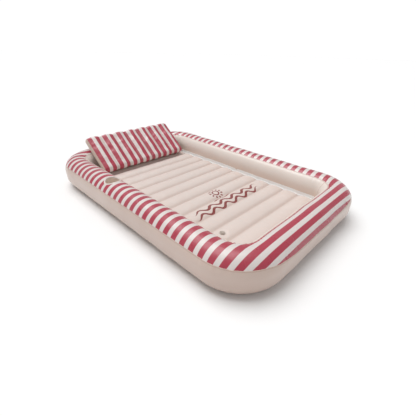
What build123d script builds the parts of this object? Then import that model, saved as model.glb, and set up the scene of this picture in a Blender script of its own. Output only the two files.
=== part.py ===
from build123d import *
import os
from math import cos, radians, sin

# ---- Driving dimensions, in millimetres ----
LENGTH = 1800.0  # whole ring, along X
WIDTH = 1200.0  # whole ring, along Y
OUTER_CORNER_R = 254.0  # plan radius of the ring's corners

TUBE_HALF = 91.0  # half width of the inflated ring tube
TUBE_TOP_Z = 114.0  # height of the centre of the tube's upper arc
LOW_OUT_R = 78.0  # radius where the outer wall turns under
LOW_IN_R = 50.0  # radius where the inner wall turns under
OUTER_SEAM_DEG = 27.0  # where the striped panel meets the outer wall, up from level
INNER_SEAM_DEG = 127.0  # where the striped panel meets the inner wall
BASE_SEAM_DEG = 55.0  # how far below level the walls meet the base panel
FILM = 1.0  # modelled film thickness
LAP_DEG = 1.6  # half width of a welded lap, as an angle on the tube
LAP_PROUD = 1.2  # how far a welded lap stands off the tube

MATTRESS_GAP = 3.0  # between mattress edge and ring wall
CHANNEL_PITCH = 113.0  # mattress channels, which run across the float
SIDE_WELDS = 6  # weld lines either side of the middle one
CROWN_Z = 66.0
VALLEY_Z = 52.0
BELLY_CROWN_Z = 3.0
BELLY_VALLEY_Z = 15.0
SPLIT_Z = 34.0  # where the mattress's top and bottom sheets are welded
WEB_GAP = 12.0  # air passage at each end of a web
TRIM = 6.0  # the channels run this far past the rim before it is cut

TAPE_BOTTOM_Z = 44.0
TAPE_STEP_Z = 50.0
TAPE_TOP_Z = 74.0
TAPE_THICK = 1.2

CUP_X = -184.0
CUP_R = 43.0
CUP_FLOOR_Z = 116.0
RIM_R = 51.0
RIM_THICK = 2.0

PILLOW_PITCH = 105.0  # pillow channels, which run up the slope
PILLOW_CHANNELS = 7
PILLOW_REACH = 262.0  # between the centres of its rounded ends
PILLOW_CROWN = 33.0  # half thickness on a channel
PILLOW_VALLEY = 22.0  # half thickness at a weld
PILLOW_SLOPE_DEG = 38.0  # lean of the pillow from level
PILLOW_CLEAR = 2.0  # between the resting pillow and the head tube
HINGE_Z = 103.0
SLING_IN = 33.6  # radii of the sling under the pillow's lower end
SLING_OUT = 34.6
SKIRT_BACK = 12.0  # how far behind the hinge line the sling comes down

FLANGE_R = 15.0
FLANGE_TOP = 1.2
FLANGE_SINK = 1.4
SLEEVE_OUT = 11.3
SLEEVE_IN = 10.3
SLEEVE_DEPTH = 16.0
SLEEVE_LIP_R = 9.3
COLLAR_R = 10.0
COLLAR_TOP = -8.5
STEM_BOTTOM = -14.0
STEM_R = 9.0
STEM_HEAD_R = 12.0
STEM_HEAD_LOW = 1.5
STEM_HEAD_TOP = 2.3
STEM_BORE_R = 4.8
HINGE_OFF = 15.0  # cap hinge, from the valve's axis
HINGE_UP = 3.3
BARREL_R = 0.7
CAP_R = 8.5
CAP_LOW = 2.6
CAP_TOP = 3.8
PLUG_DEEP = 5.0
PLUG_R = 4.3
PLUG_TIP_R = 3.0
DISC_R = 6.2
DISC_THICK = 0.8
DISC_AXIS_X = 6.9
DISC_AXIS_Z = -14.7

# ---- Derived ----
CENTRE_X = LENGTH / 2 - TUBE_HALF
CENTRE_Y = WIDTH / 2 - TUBE_HALF
CORNER_R = OUTER_CORNER_R - TUBE_HALF
CORNER_X = CENTRE_X - CORNER_R
CORNER_Y = CENTRE_Y - CORNER_R
MATTRESS_X = CENTRE_X - TUBE_HALF - MATTRESS_GAP
MATTRESS_Y = CENTRE_Y - TUBE_HALF - MATTRESS_GAP
MATTRESS_R = CORNER_R - TUBE_HALF - MATTRESS_GAP
WELD_XS = [i * CHANNEL_PITCH for i in range(-SIDE_WELDS, SIDE_WELDS + 1)]
PILLOW_HALF = PILLOW_PITCH * PILLOW_CHANNELS / 2
SLOPE = radians(PILLOW_SLOPE_DEG)
REST_OFF = TUBE_HALF + PILLOW_CROWN + PILLOW_CLEAR
HINGE_X = -CENTRE_X + (REST_OFF - (HINGE_Z - TUBE_TOP_Z) * cos(SLOPE)) / sin(SLOPE)
HEAD_VALVE_DEG = 45.0
HEAD_VALVE_Y = 250.0
FOOT_VALVE = (4.5 * CHANNEL_PITCH, -294.0)
PILLOW_VALVE = (250.0, 315.0)  # up the slope, and across

UPPER = ((0.0, TUBE_TOP_Z), TUBE_HALF)
LOWER_OUT = ((TUBE_HALF - LOW_OUT_R, LOW_OUT_R), LOW_OUT_R)
LOWER_IN = ((LOW_IN_R - TUBE_HALF, LOW_IN_R), LOW_IN_R)
SIDES = {
    "right": (CORNER_X, CENTRE_Y, 0),
    "head": (CORNER_Y, CENTRE_X, 90),
    "left": (CORNER_X, CENTRE_Y, 180),
    "foot": (CORNER_Y, CENTRE_X, 270),
}  # half the straight run, its distance from the middle, and which way it faces


# ---- Ring ----
def arc_chain(arcs, depth):
    """Arcs of the tube's outline at one depth, joined by straight lines."""
    edges = []
    for (centre, radius), start, stop in arcs:
        arc = CenterArc(centre, radius - depth, start, stop - start)
        if edges and (edges[-1] @ 1 - arc @ 0).length > 1e-6:
            edges.append(Line(edges[-1] @ 1, arc @ 0))
        edges.append(arc)
    return edges


def band(arcs, near, far):
    """Closed strip of the tube's section between two depths below its surface."""
    outer = arc_chain(arcs, near)
    inner = arc_chain(arcs, far)
    ends = [Line(outer[0] @ 0, inner[0] @ 0), Line(outer[-1] @ 1, inner[-1] @ 1)]
    return make_face(outer + inner + ends)


def ring_side(section, side):
    """Carry a tube section along one side of the ring, and half way round the corner at each end."""
    half, away, turn = SIDES[side]
    run_start = Plane((-half, away, 0), x_dir=(0, 1, 0), z_dir=(1, 0, 0))
    run = extrude(run_start * section, amount=2 * half, dir=(1, 0, 0))
    pivot = Axis((half, away - CORNER_R, 0), (0, 0, -1))
    far_corner = revolve(Plane((half, away, 0), x_dir=(0, 1, 0), z_dir=(1, 0, 0)) * section, pivot, 45)
    return Rot(0, 0, turn) * run.fuse(far_corner, mirror(far_corner, Plane.YZ))


def ring_panels(name, section):
    """One panel of the ring as its four sides, welded to each other at the corners."""
    return {f"{name}_{side}": ring_side(section, side) for side in SIDES}


def with_lap(wall, seam_deg):
    """A wall section with the lap that is welded over the striped panel's edge."""
    lap = band([(UPPER, seam_deg + LAP_DEG, seam_deg - LAP_DEG)], -LAP_PROUD, 0)
    return make_face(wall.fuse(lap).clean().outer_wire())


def ring_nodes(cup_hole, valve_hole):
    """Striped top panels, outer and inner walls and the flat-bottomed base."""
    top = band([(UPPER, INNER_SEAM_DEG, OUTER_SEAM_DEG)], 0, FILM)
    outer = band([(UPPER, OUTER_SEAM_DEG, 0), (LOWER_OUT, 0, -BASE_SEAM_DEG)], 0, FILM)
    inner = band([(LOWER_IN, 180 + BASE_SEAM_DEG, 180), (UPPER, 180, INNER_SEAM_DEG)], 0, FILM)
    base = band([(LOWER_OUT, -BASE_SEAM_DEG, -90), (LOWER_IN, 270, 180 + BASE_SEAM_DEG)], 0, FILM)
    nodes = ring_panels("ring_top", top)
    nodes["ring_top_left"] -= cup_hole
    nodes["ring_top_head"] -= valve_hole
    nodes.update(ring_panels("ring_outer", with_lap(outer, OUTER_SEAM_DEG)))
    nodes.update(ring_panels("ring_inner", with_lap(inner, INNER_SEAM_DEG)))
    nodes.update(ring_panels("ring_base", base))
    return nodes


# ---- Mattress ----
def scallops(edges, crown, valley):
    """Arcs from weld to weld, bulging to the crown height."""
    arcs = []
    widest = max(high - low for low, high in zip(edges, edges[1:]))
    for low, high in zip(edges, edges[1:]):
        rise = (crown - valley) * (high - low) / widest
        arcs.append(ThreePointArc((low, valley), ((low + high) / 2, valley + rise), (high, valley)))
    return arcs


def mattress_block(inset):
    """The mattress's whole outline, or the air inside it when inset by the film."""
    reach = MATTRESS_X + TRIM
    edges = [-reach] + WELD_XS + [reach]
    top = scallops(edges, CROWN_Z - inset, VALLEY_Z - inset)
    belly = scallops(edges, BELLY_CROWN_Z + inset, BELLY_VALLEY_Z + inset)
    sides = [Line(top[0] @ 0, belly[0] @ 0), Line(top[-1] @ 1, belly[-1] @ 1)]
    profile = Plane.XZ * make_face(top + belly + sides)
    slab = extrude(profile, amount=MATTRESS_Y + TRIM, both=True)
    plan = RectangleRounded(2 * (MATTRESS_X - inset), 2 * (MATTRESS_Y - inset), MATTRESS_R - inset)
    return slab & extrude(plan, amount=150)


def level_box(low_x, high_x, low_y, high_y, low_z, high_z):
    """Box between six limits."""
    centre = ((low_x + high_x) / 2, (low_y + high_y) / 2, (low_z + high_z) / 2)
    return Pos(*centre) * Box(high_x - low_x, high_y - low_y, high_z - low_z)


def mattress_webs(air):
    """Upright webs that tie the two sheets together along every weld line."""
    reach = MATTRESS_Y - WEB_GAP
    webs = [level_box(x - FILM / 2, x + FILM / 2, -reach, reach, 0, 120) for x in WELD_XS]
    return [web & air for web in webs]


def mattress_edge_tape():
    """Welded tape that joins the mattress's rim to the inner wall."""
    wall = -TUBE_HALF
    points = [
        (wall, TAPE_BOTTOM_Z),
        (wall, TAPE_TOP_Z),
        (wall - TAPE_THICK, TAPE_TOP_Z),
        (wall - TAPE_THICK, TAPE_STEP_Z),
        (wall - MATTRESS_GAP, TAPE_STEP_Z),
        (wall - MATTRESS_GAP, TAPE_BOTTOM_Z),
    ]
    sides = list(ring_panels("tape", make_face(Polyline(*points, close=True))).values())
    return sides[0].fuse(*sides[1:])


# ---- Cup holder ----
def along_tube(radius):
    """Solid rod on the near tube's axis."""
    start = Plane((CUP_X - 80, -CENTRE_Y, TUBE_TOP_Z), x_dir=(0, 1, 0), z_dir=(1, 0, 0))
    return extrude(start * Circle(radius), amount=160)


def cup_bore(radius, low):
    """Upright cylinder on the cup holder's axis."""
    return Pos(CUP_X, -CENTRE_Y, low) * Cylinder(radius, 150, align=(Align.CENTER, Align.CENTER, Align.MIN))


def cup_holder_cup():
    """Cup sunk into the tube, ending flush with the striped panel."""
    block = cup_bore(CUP_R, CUP_FLOOR_Z) & along_tube(TUBE_HALF)
    return block - cup_bore(CUP_R - FILM, CUP_FLOOR_Z + FILM)


def cup_holder_rim():
    """Saddle-shaped collar welded round the mouth of the cup."""
    collar = cup_bore(RIM_R, TUBE_TOP_Z) - cup_bore(CUP_R - FILM, TUBE_TOP_Z)
    return (collar & along_tube(TUBE_HALF + RIM_THICK)) - along_tube(TUBE_HALF)


# ---- Pillow, built lying along +X with its lower end on the origin, then leant back ----
def pillow_place():
    """Pose of the pillow at rest, leaning on the head tube."""
    return Pos(HINGE_X, 0, HINGE_Z) * Rot(0, -(180 - PILLOW_SLOPE_DEG), 0)


def pillow_block(inset):
    """Pillow outline: scalloped across, with scalloped round ends; inset for the air inside."""
    edges = [i * PILLOW_PITCH - PILLOW_HALF for i in range(PILLOW_CHANNELS + 1)]
    arcs = scallops(edges, PILLOW_CROWN - inset, PILLOW_VALLEY - inset)
    ends = [Line(arcs[0] @ 0, (edges[0], 0)), Line(arcs[-1] @ 1, (edges[-1], 0))]
    half = Plane.YZ * make_face(arcs + ends + [Line((edges[0], 0), (edges[-1], 0))])
    run = extrude(half, amount=PILLOW_REACH, dir=(1, 0, 0))
    low_end = revolve(half, axis=Axis.Y, revolution_arc=-180)
    high_end = Pos(PILLOW_REACH, 0, 0) * mirror(low_end, Plane.YZ)
    return low_end.fuse(run, mirror(run, Plane.XY), high_end).clean()


def pillow_shells():
    """Front and back panels, the two side gussets and the webs between channels."""
    outside = pillow_block(0)
    air = pillow_block(FILM)
    inner = PILLOW_HALF - FILM
    skin = (outside - air) & level_box(-100, 400, -inner, inner, -60, 60)
    front = skin & level_box(-100, 400, -400, 400, -60, 0)
    back = skin & level_box(-100, 400, -400, 400, 0, 60)
    left = outside & level_box(-100, 400, -PILLOW_HALF, -inner, -60, 60)
    right = outside & level_box(-100, 400, inner, PILLOW_HALF, -60, 60)
    webs = []
    for i in range(1, PILLOW_CHANNELS):
        y = i * PILLOW_PITCH - PILLOW_HALF
        webs.append(level_box(15, PILLOW_REACH - 15, y - FILM / 2, y + FILM / 2, -60, 60) & air)
    return front, back, left, right, webs


def pillow_sling(mattress):
    """Flap under the pillow's lower end, welded to the mattress's top sheet."""
    foot_x = HINGE_X - SKIRT_BACK
    width = 2 * PILLOW_HALF - 20
    ring = Circle(SLING_OUT) - Circle(SLING_IN)
    wedge = make_face(Polyline((0, 0), (-40, -57), (0, -57), close=True))
    arc = Plane.XZ * (ring & wedge)
    curved = Pos(HINGE_X, 0, HINGE_Z) * extrude(arc, amount=width / 2, both=True)
    top = HINGE_Z - (SLING_IN**2 - SKIRT_BACK**2) ** 0.5 - FILM / 2
    skirt = level_box(foot_x - FILM / 2, foot_x + FILM / 2, -width / 2, width / 2, VALLEY_Z, top)
    return curved.fuse(skirt).clean() - mattress


# ---- Valves, built with the axis on +Z and the skin's surface at zero ----
def disc(radius, low, high):
    """Flat round piece on the valve's axis."""
    return Pos(0, 0, low) * Cylinder(radius, high - low, align=(Align.CENTER, Align.CENTER, Align.MIN))


def cross_barrel(x, z, radius, half):
    """Short round bar along Y."""
    return Pos(x, 0, z) * Rot(90, 0, 0) * Cylinder(radius, 2 * half)


def valve_base(skin):
    """Flange welded to the skin, with the sleeve the stem slides in."""
    flange = disc(FLANGE_R, -FLANGE_SINK, FLANGE_TOP) - skin
    whole = flange.fuse(disc(SLEEVE_OUT, -SLEEVE_DEPTH, FLANGE_TOP)).clean()
    return whole - disc(SLEEVE_IN, -SLEEVE_DEPTH, 0.2) - disc(SLEEVE_LIP_R, -SLEEVE_DEPTH, FLANGE_TOP)


def valve_stem():
    """Sliding stem with the filling bore, a retaining collar and the tab of the cap."""
    body = disc(COLLAR_R, STEM_BOTTOM, COLLAR_TOP).fuse(
        disc(STEM_R, COLLAR_TOP, STEM_HEAD_LOW),
        disc(STEM_HEAD_R, STEM_HEAD_LOW, STEM_HEAD_TOP),
        level_box(-HINGE_OFF - 1, -STEM_R, -2.5, 2.5, STEM_HEAD_LOW, STEM_HEAD_TOP),
    )
    return body.clean() - disc(STEM_BORE_R, STEM_BOTTOM, STEM_HEAD_TOP)


def valve_disc():
    """One-way disc that closes the stem's inner end."""
    low = DISC_AXIS_Z - DISC_THICK / 2
    plate = disc(DISC_R, low, low + DISC_THICK)
    arm = level_box(0, DISC_AXIS_X, -2, 2, low, low + DISC_THICK)
    return plate.fuse(arm, cross_barrel(DISC_AXIS_X, DISC_AXIS_Z, DISC_THICK / 2, 2)).clean()


def valve_cap():
    """Cap with its tapered plug, strap and hinge barrel."""
    plug = Pos(0, 0, CAP_LOW - PLUG_DEEP) * Cone(
        PLUG_TIP_R, PLUG_R, PLUG_DEEP, align=(Align.CENTER, Align.CENTER, Align.MIN)
    )
    strap = level_box(-HINGE_OFF, 0, -2, 2, HINGE_UP - 0.4, HINGE_UP + 0.4)
    lid = disc(CAP_R, CAP_LOW, CAP_TOP)
    return lid.fuse(plug, strap, cross_barrel(-HINGE_OFF, HINGE_UP, BARREL_R, 2)).clean()


def valve_places():
    """Location of each valve: head of the ring, foot of the mattress, back of the pillow."""
    lean = radians(HEAD_VALVE_DEG)
    ring_spot = (-CENTRE_X - TUBE_HALF * cos(lean), HEAD_VALVE_Y, TUBE_TOP_Z + TUBE_HALF * sin(lean))
    ring_place = Plane(ring_spot, x_dir=(-sin(lean), 0, -cos(lean)), z_dir=(-cos(lean), 0, sin(lean)))
    mattress_place = Plane((*FOOT_VALVE, CROWN_Z), x_dir=(1, 0, 0), z_dir=(0, 0, 1))
    up, across = PILLOW_VALVE
    back = Plane((up, across, PILLOW_CROWN), x_dir=(-1, 0, 0), z_dir=(0, 0, 1))
    return {
        "ring": ring_place.location,
        "mattress": mattress_place.location,
        "pillow": pillow_place() * back.location,
    }


def valve_parts(name, place, skin):
    """The four pieces of one valve, in place."""
    local_skin = place.inverse() * skin
    return {
        f"{name}_valve_base": place * valve_base(local_skin),
        f"{name}_valve_stem": place * valve_stem(),
        f"{name}_valve_disc": place * valve_disc(),
        f"{name}_valve_cap": place * valve_cap(),
    }


def build():
    """All nodes by name."""
    places = valve_places()
    holes = {name: place * disc(SLEEVE_OUT, -SLEEVE_DEPTH, 10) for name, place in places.items()}
    mattress = mattress_block(0)
    air = mattress_block(FILM)
    shell = mattress - air
    front, back, left, right, pillow_webs = pillow_shells()
    rest = pillow_place()
    head_tube = Pos(-CENTRE_X, HEAD_VALVE_Y, TUBE_TOP_Z) * Rot(90, 0, 0) * Cylinder(TUBE_HALF, 100)
    nodes = {
        **ring_nodes(cup_bore(CUP_R, CUP_FLOOR_Z), holes["ring"]),
        "mattress_top_sheet": (shell & level_box(-800, 800, -500, 500, SPLIT_Z, 120)) - holes["mattress"],
        "mattress_bottom_sheet": shell & level_box(-800, 800, -500, 500, 0, SPLIT_Z),
        "mattress_webs": mattress_webs(air),
        "mattress_edge_tape": mattress_edge_tape(),
        "cup_holder_cup": cup_holder_cup(),
        "cup_holder_rim": cup_holder_rim(),
        "pillow_sling": pillow_sling(mattress),
        "pillow_front_panel": rest * front,
        "pillow_back_panel": (rest * back) - holes["pillow"],
        "pillow_left_gusset": rest * left,
        "pillow_right_gusset": rest * right,
        "pillow_webs": [rest * web for web in pillow_webs],
    }
    skins = {"ring": head_tube, "mattress": mattress, "pillow": rest * pillow_block(0)}
    for name, place in places.items():
        nodes.update(valve_parts(name, place, skins[name]))
    return nodes


def main():
    """Write one STEP file for each node."""
    os.makedirs("parts", exist_ok=True)
    for name, shape in build().items():
        pieces = shape if isinstance(shape, list) else [shape]
        solids = [solid for piece in pieces for solid in piece.solids()]
        whole = solids[0] if len(solids) == 1 else Compound(children=solids)
        export_step(whole, f"parts/{name}.step")


main()
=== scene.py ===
"""Detailed look of an inflatable pool float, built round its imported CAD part."""

import logging
import math
from dataclasses import dataclass
from enum import Enum
from typing import Callable, Optional, Sequence

import bmesh
import bpy
import numpy as np
from mathutils import Matrix, Vector


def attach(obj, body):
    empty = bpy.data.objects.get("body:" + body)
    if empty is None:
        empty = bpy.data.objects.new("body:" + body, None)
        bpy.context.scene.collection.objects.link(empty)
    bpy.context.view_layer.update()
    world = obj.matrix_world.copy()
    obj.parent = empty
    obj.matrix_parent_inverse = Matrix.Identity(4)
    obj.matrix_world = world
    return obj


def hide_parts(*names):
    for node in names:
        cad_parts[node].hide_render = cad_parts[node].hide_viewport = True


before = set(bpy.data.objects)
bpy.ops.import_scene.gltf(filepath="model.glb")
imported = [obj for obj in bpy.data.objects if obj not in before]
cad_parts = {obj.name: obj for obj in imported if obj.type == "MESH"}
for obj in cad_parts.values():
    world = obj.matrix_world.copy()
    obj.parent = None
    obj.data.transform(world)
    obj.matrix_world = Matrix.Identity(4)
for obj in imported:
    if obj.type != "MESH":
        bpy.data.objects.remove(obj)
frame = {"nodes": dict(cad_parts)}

LOG = logging.getLogger("pool_float")
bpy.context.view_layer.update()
Array = np.ndarray
Color = tuple[float, float, float]
Object = bpy.types.Object
Socket = bpy.types.NodeSocket
NodeTree = bpy.types.NodeTree


# ---------------------------------------------------------------- sizes


@dataclass(frozen=True)
class RingSize:
    """Sizes of the inflated ring, in metres and radians.

    The tube's section is a half circle over two upright sides and a rounded base. The seams
    are angles round that half circle from its outer side, and the base seam is an angle round
    each lower corner. Panels overlap by the lap, and their edges turn in by the tuck.
    """

    length: float = 1.800
    width: float = 1.200
    corner: float = 0.254
    half: float = 0.091
    top_z: float = 0.114
    low_out: float = 0.078
    low_in: float = 0.050
    seam_out: float = math.radians(27)
    seam_in: float = math.radians(127)
    base_seam: float = math.radians(55)
    lap: float = 0.0042
    tuck: float = 0.0022
    step: float = 0.009
    close_step: float = 0.0045
    foot_drop: float = 0.020
    valve_from_end: float = 0.25
    valve_hole: float = 0.0112

    @property
    def centre_x(self) -> float:
        """Distance of the head and foot tubes' axes from the middle."""
        return self.length / 2 - self.half

    @property
    def centre_y(self) -> float:
        """Distance of the side tubes' axes from the middle."""
        return self.width / 2 - self.half

    @property
    def bend(self) -> float:
        """Plan radius of the tube's axis at the corners."""
        return self.corner - self.half


@dataclass(frozen=True)
class MattressSize:
    """Sizes of the channelled air mattress, in metres.

    Crowns and valleys are heights above the ground, of the top sheet and of the belly.
    """

    half_x: float = 0.715
    half_y: float = 0.415
    corner: float = 0.069
    pitch: float = 0.113
    welds: int = 6
    crown: float = 0.068
    valley: float = 0.052
    belly_crown: float = 0.003
    belly_valley: float = 0.015
    rim_z: float = 0.046
    cell: float = 0.0075
    end_round: float = 0.050
    valve: tuple[float, float] = (0.5085, -0.294)
    valve_hole: float = 0.0132
    valve_dip: float = 0.0036


@dataclass(frozen=True)
class PillowSize:
    """Sizes of the folding pillow, in metres and radians.

    The reach runs up the slope from the hinge, and crowns and the valley are measured from the
    pillow's middle plane. The flap's arc is in degrees, and its skirt is a list of distances
    behind the hinge with heights.
    """

    pitch: float = 0.105
    channels: int = 7
    reach: float = 0.262
    crown: float = 0.0375
    back_crown: float = 0.033
    valley: float = 0.022
    end_swell: float = 0.010
    slope: float = math.radians(38)
    hinge_x: float = -0.590296
    hinge_z: float = 0.103
    valve: tuple[float, float] = (0.250, 0.315)
    flap_radius: float = 0.0341
    flap_arc: tuple[float, float] = (235.5, 269.5)
    flap_inset: float = 0.010
    flap_thick: float = 0.0008
    skirt: tuple[tuple[float, float], ...] = ((-0.0120, 0.0706), (-0.0121, 0.0660), (-0.0135, 0.0600))


@dataclass(frozen=True)
class CupSize:
    """Sizes of the sunk cup holder, in metres."""

    x: float = -0.184
    bore: float = 0.042
    clearance: float = 0.0008
    rim: float = 0.051
    floor_z: float = 0.117


@dataclass(frozen=True)
class StripeSize:
    """Spacing of the printed stripes, in metres."""

    pitch: float = 0.0565
    ring_offset: float = 0.0165
    share: float = 0.55
    pillow_pitch: float = 0.0588


@dataclass(frozen=True)
class WaterLine:
    """One wavy printed line across the mattress: place, two ends, wave height, half width."""

    at: float
    low: float
    high: float
    swell: float
    half: float


@dataclass(frozen=True)
class Sun:
    """Small printed sun, a ring with rays round it, in metres."""

    x: float = 0.178
    y: float = 0.010
    hollow: float = 0.0170
    disc: float = 0.0258
    ray_low: float = 0.0330
    ray_high: float = 0.0490
    rays: float = 11.0
    edge: float = 0.0012


WAVE_LENGTH = 0.104
WATER_LINES = (
    WaterLine(0.243, -0.090, 0.110, 0.006, 0.0046),
    WaterLine(0.282, -0.300, 0.325, 0.014, 0.0078),
    WaterLine(0.320, -0.315, 0.310, 0.014, 0.0070),
)


# ---------------------------------------------------------------- shape helpers


class Loop:
    """Closed chain of straight runs and tangent arcs in a plane, measured by length."""

    def __init__(
        self, start: Sequence[float], normal: float, turn: int, legs: Sequence[tuple[float, float]]
    ) -> None:
        """Lay the chain out.

        Args:
            start: first point.
            normal: angle of the outward normal there, in radians.
            turn: +1 where the normal's angle grows along the loop, -1 where it falls.
            legs: (length, radius) of each leg, with radius 0 for a straight one.
        """
        self.turn = turn
        self.total = sum(length for length, _ in legs)
        self.ends = np.cumsum([length for length, _ in legs])
        self.starts = self.ends - np.array([length for length, _ in legs])
        self.radii = np.array([radius for _, radius in legs])
        points, angles = [], []
        at = np.array(start, float)
        angle = normal
        for length, radius in legs:
            points.append(at.copy())
            angles.append(angle)
            out = np.array([math.cos(angle), math.sin(angle)])
            if radius > 0:
                after = angle + turn * length / radius
                at = at - out * radius + radius * np.array([math.cos(after), math.sin(after)])
                angle = after
            else:
                at = at + turn * length * np.array([-out[1], out[0]])
        self.points, self.angles = np.array(points), np.array(angles)

    def at(self, length: Array) -> tuple[Array, Array]:
        """Points and outward normals at these lengths along the loop.

        Args:
            length: lengths along the loop.

        Returns:
            Points and unit normals, one for each length.
        """
        length = np.mod(length, self.total)
        leg = np.clip(np.searchsorted(self.ends, length, side="right"), 0, len(self.ends) - 1)
        local = length - self.starts[leg]
        radius = self.radii[leg]
        arc = radius > 0
        angle = self.angles[leg] + np.where(arc, self.turn * local / np.where(arc, radius, 1.0), 0.0)
        normal = np.stack([np.cos(angle), np.sin(angle)], -1)
        first = np.stack([np.cos(self.angles[leg]), np.sin(self.angles[leg])], -1)
        along = np.stack([-first[..., 1], first[..., 0]], -1) * (self.turn * local)[..., None]
        curved = (normal - first) * radius[..., None]
        return self.points[leg] + np.where(arc[..., None], curved, along), normal


class Ripples:
    """Smooth repeatable noise along a length, as a sum of waves."""

    def __init__(self, seed: int, shortest: float, longest: float, span: float, waves: int = 9) -> None:
        """Choose the waves; each fits the span a whole number of times, so a loop closes.

        Args:
            seed: start of the random draws.
            shortest: shortest wave.
            longest: longest wave.
            span: length that the waves fit.
            waves: how many waves.
        """
        rng = np.random.default_rng(seed)
        self.counts = np.round(rng.uniform(span / longest, span / shortest, waves))
        self.phases = rng.uniform(0, 2 * math.pi, (waves, 2))
        self.drift = rng.uniform(0.5, 2.0, waves)
        self.span = span

    def at(self, along: Array, across: Array) -> Array:
        """Height from about -1 to 1, drifting slowly in the cross direction.

        Args:
            along: positions along the span.
            across: positions across it.

        Returns:
            The height at each position.
        """
        total = np.zeros(np.broadcast(along, across).shape)
        for count, (first, second), drift in zip(self.counts, self.phases, self.drift):
            wander = drift * np.sin(across * 9 + second)
            total += np.sin(2 * math.pi * count * along / self.span + first + wander)
        return total / math.sqrt(len(self.counts)) * 0.7


def smooth_step(low: float, high: float, value: Array) -> Array:
    """0 below low, 1 above high and a smooth rise between."""
    share = np.clip((value - low) / (high - low), 0, 1)
    return share * share * (3 - 2 * share)


def from_nearest(value: Array, pitch: float) -> Array:
    """Distance from the nearest whole multiple of the pitch."""
    return np.abs(np.mod(value + pitch / 2, pitch) - pitch / 2)


def arch(share: Array) -> Array:
    """Parabola that is 0 where the share is 0 or 1 and 1 half way between."""
    return 1 - (2 * share - 1) ** 2


def faces_outside(inside: Array) -> Array:
    """Which faces of a grid have a corner that isn't inside."""
    return ~(inside[:-1, :-1] & inside[1:, :-1] & inside[1:, 1:] & inside[:-1, 1:])


def grid_mesh(
    name: str, points: Array, uv: Array, wrap: bool = False, keep: Optional[Array] = None
) -> Object:
    """Make a smooth-shaded mesh object from a grid of points.

    Args:
        name: object name.
        points: (rows, columns, 3) positions in metres.
        uv: (rows, columns, 2) texture coordinates.
        wrap: whether the last column is the first one again.
        keep: (rows - 1, columns - 1) flags of the faces to keep.

    Returns:
        The new object, linked to the scene.
    """
    rows, cols = points.shape[:2]
    index = np.arange(rows * cols).reshape(rows, cols)
    welded = index.copy()
    if wrap:
        welded[:, -1] = welded[:, 0]
    here, after = slice(0, -1), slice(1, None)
    corners = ((here, here), (after, here), (after, after), (here, after))
    faces = np.stack([welded[c] for c in corners], -1).reshape(-1, 4)
    loops = np.stack([index[c] for c in corners], -1).reshape(-1, 4)
    if keep is not None:
        faces, loops = faces[keep.ravel()], loops[keep.ravel()]
    return mesh_object(name, points.reshape(-1, 3), faces, uv.reshape(-1, 2)[loops])


def mesh_object(name: str, points: Array, faces: Array, corner_uv: Array) -> Object:
    """Make a mesh object from quads, dropping unused points; corner_uv is (faces, 4, 2).

    Args:
        name: object name.
        points: positions in metres.
        faces: four point numbers for each face.
        corner_uv: texture coordinates, faces by 4 by 2.

    Returns:
        The new object, linked to the scene.
    """
    used = np.unique(faces)
    renumber = np.zeros(len(points), np.int64)
    renumber[used] = np.arange(len(used))
    mesh = bpy.data.meshes.new(name)
    mesh.from_pydata(points[used].tolist(), [], renumber[faces].tolist())
    layer = mesh.uv_layers.new(name="flat")
    layer.data.foreach_set("uv", corner_uv.astype(np.float32).ravel())
    mesh.polygons.foreach_set("use_smooth", np.ones(len(mesh.polygons), bool))
    mesh.validate()
    obj = bpy.data.objects.new(name, mesh)
    bpy.context.scene.collection.objects.link(obj)
    return obj


def coordinates(obj: Object) -> Array:
    """Vertex positions of a mesh object as an array.

    Args:
        obj: mesh object.

    Returns:
        Positions, one row for each vertex.
    """
    flat = np.zeros(len(obj.data.vertices) * 3, np.float32)
    obj.data.vertices.foreach_get("co", flat)
    return flat.reshape(-1, 3).astype(float)


def set_coordinates(obj: Object, points: Array) -> None:
    """Write vertex positions back to a mesh object."""
    obj.data.vertices.foreach_set("co", points.astype(np.float32).ravel())
    obj.data.update()


@dataclass(frozen=True)
class Inflation:
    """How a film piece is blown up by cloth simulation."""

    pressure: float = 4.0
    grow: float = 0.015
    frames: int = 20
    limit: float = 0.005
    stiffness: float = 30.0
    mass: float = 0.12

    def apply(self, obj: Object, held: Array) -> None:
        """Blow the object up in place.

        Args:
            obj: mesh object, welded edges included.
            held: weight from 0 to 1 by which each vertex is held still.
        """
        before = coordinates(obj)
        group = obj.vertex_groups.new(name="held")
        for weight in np.unique(held[held > 0]):
            group.add(np.flatnonzero(held == weight).tolist(), float(weight), "REPLACE")
        modifier = obj.modifiers.new("Inflate", "CLOTH")
        cloth = modifier.settings
        cloth.quality = 5
        cloth.mass = self.mass
        cloth.air_damping = 4.0
        cloth.tension_stiffness = self.stiffness
        cloth.compression_stiffness = self.stiffness
        cloth.shear_stiffness = self.stiffness / 2
        cloth.bending_stiffness = 0.4
        cloth.use_pressure = True
        cloth.uniform_pressure_force = self.pressure
        cloth.vertex_group_mass = group.name
        cloth.shrink_min = -self.grow
        cloth.shrink_max = -self.grow
        cloth.effector_weights.gravity = 0.0
        modifier.collision_settings.use_collision = False
        modifier.point_cache.frame_start = 1
        modifier.point_cache.frame_end = self.frames
        scene = bpy.context.scene
        for step in range(1, self.frames + 1):
            scene.frame_set(step)
        result = obj.evaluated_get(bpy.context.evaluated_depsgraph_get())
        flat = np.zeros(len(before) * 3, np.float32)
        result.data.vertices.foreach_get("co", flat)
        obj.modifiers.remove(modifier)
        obj.vertex_groups.remove(group)
        scene.frame_set(1)
        move = flat.reshape(-1, 3) - before
        size = np.linalg.norm(move, axis=1, keepdims=True)
        move *= np.minimum(1.0, self.limit / np.maximum(size, 1e-9))
        set_coordinates(obj, before + move)
        LOG.info("%s moved up to %.1f mm", obj.name, float(np.minimum(size, self.limit).max()) * 1000)


# ---------------------------------------------------------------- node graphs


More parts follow.
